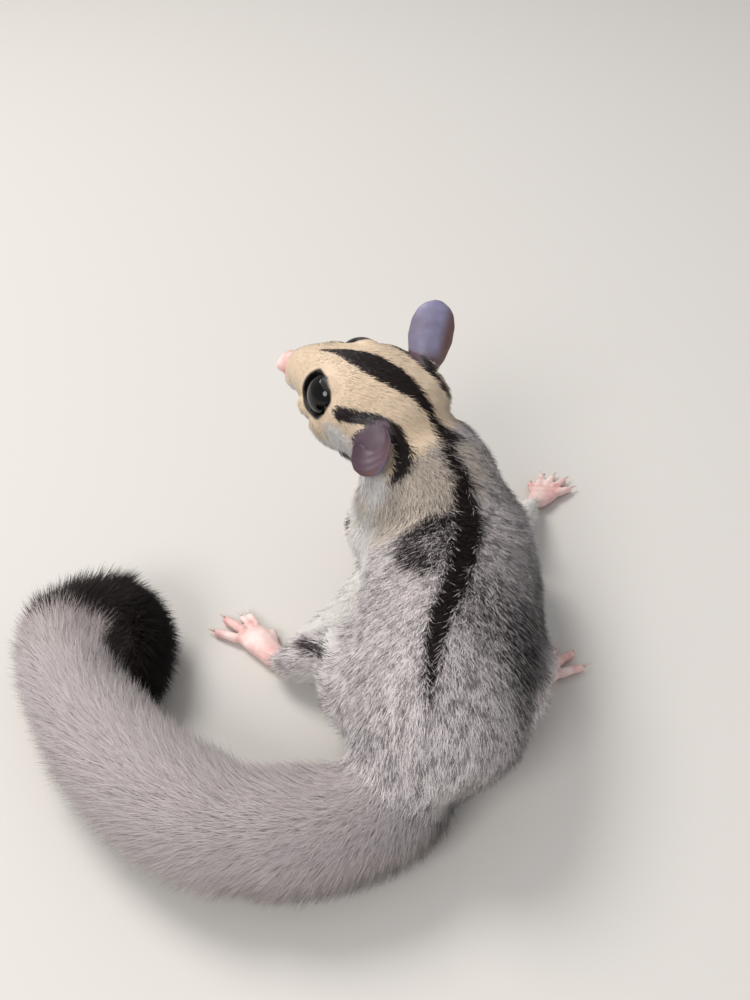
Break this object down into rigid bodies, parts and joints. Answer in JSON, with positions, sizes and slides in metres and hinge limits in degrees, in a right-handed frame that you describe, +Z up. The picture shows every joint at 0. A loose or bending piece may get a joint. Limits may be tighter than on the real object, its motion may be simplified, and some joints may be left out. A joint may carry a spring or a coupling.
{
  "type": "sugar glider",
  "caption": "Small grey gliding possum with a dark back stripe, standing on all fours with its head turned back and its long tail curled on the ground.",
  "frame": {"origin": "on the ground, under the middle of the whole animal", "axes": "+Z up, +Y the way the trunk faces, +X to the animal's right"},
  "size_m": [0.151, 0.1568, 0.0765],
  "materials": {
    "body_fur": "soft salt-and-pepper fur",
    "face_fur": "short cream fur with dark stripes",
    "tail_fur": "long fluffy fur",
    "dark_fur": "long black-brown fur",
    "pale_fur": "short off-white fur",
    "bare_skin": "soft pink skin",
    "ear_skin": "thin bare violet-grey skin",
    "eyes": "wet black",
    "claws": "translucent horn"
  },
  "bodies": {
    "root": {"ear_left": "ear_skin", "ear_right": "ear_skin", "eye_left": "eyes", "eye_right": "eyes", "foot_left": "bare_skin", "foot_left_claw_1": "claws", "foot_left_claw_2": "claws", "foot_left_claw_3": "claws", "foot_left_claw_4": "claws", "foot_right": "bare_skin", "foot_right_claw_1": "claws", "foot_right_claw_2": "claws", "foot_right_claw_3": "claws", "foot_right_claw_4": "claws", "fore_leg_left": "body_fur", "fore_leg_right": "body_fur", "hand_left": "bare_skin", "hand_left_claw_1": "claws", "hand_left_claw_2": "claws", "hand_left_claw_3": "claws", "hand_left_claw_4": "claws", "hand_left_claw_5": "claws", "hand_right": "bare_skin", "hand_right_claw_1": "claws", "hand_right_claw_2": "claws", "hand_right_claw_3": "claws", "hand_right_claw_4": "claws", "hand_right_claw_5": "claws", "head": "face_fur", "hind_leg_left": "body_fur", "hind_leg_right": "body_fur", "neck": "body_fur", "nose": "bare_skin", "patagium_left": "pale_fur", "patagium_right": "pale_fur", "tail_base": "tail_fur", "tail_end": "tail_fur", "tail_middle": "tail_fur", "tail_tip": "dark_fur", "trunk": "body_fur"}
  },
  "joints": []
}
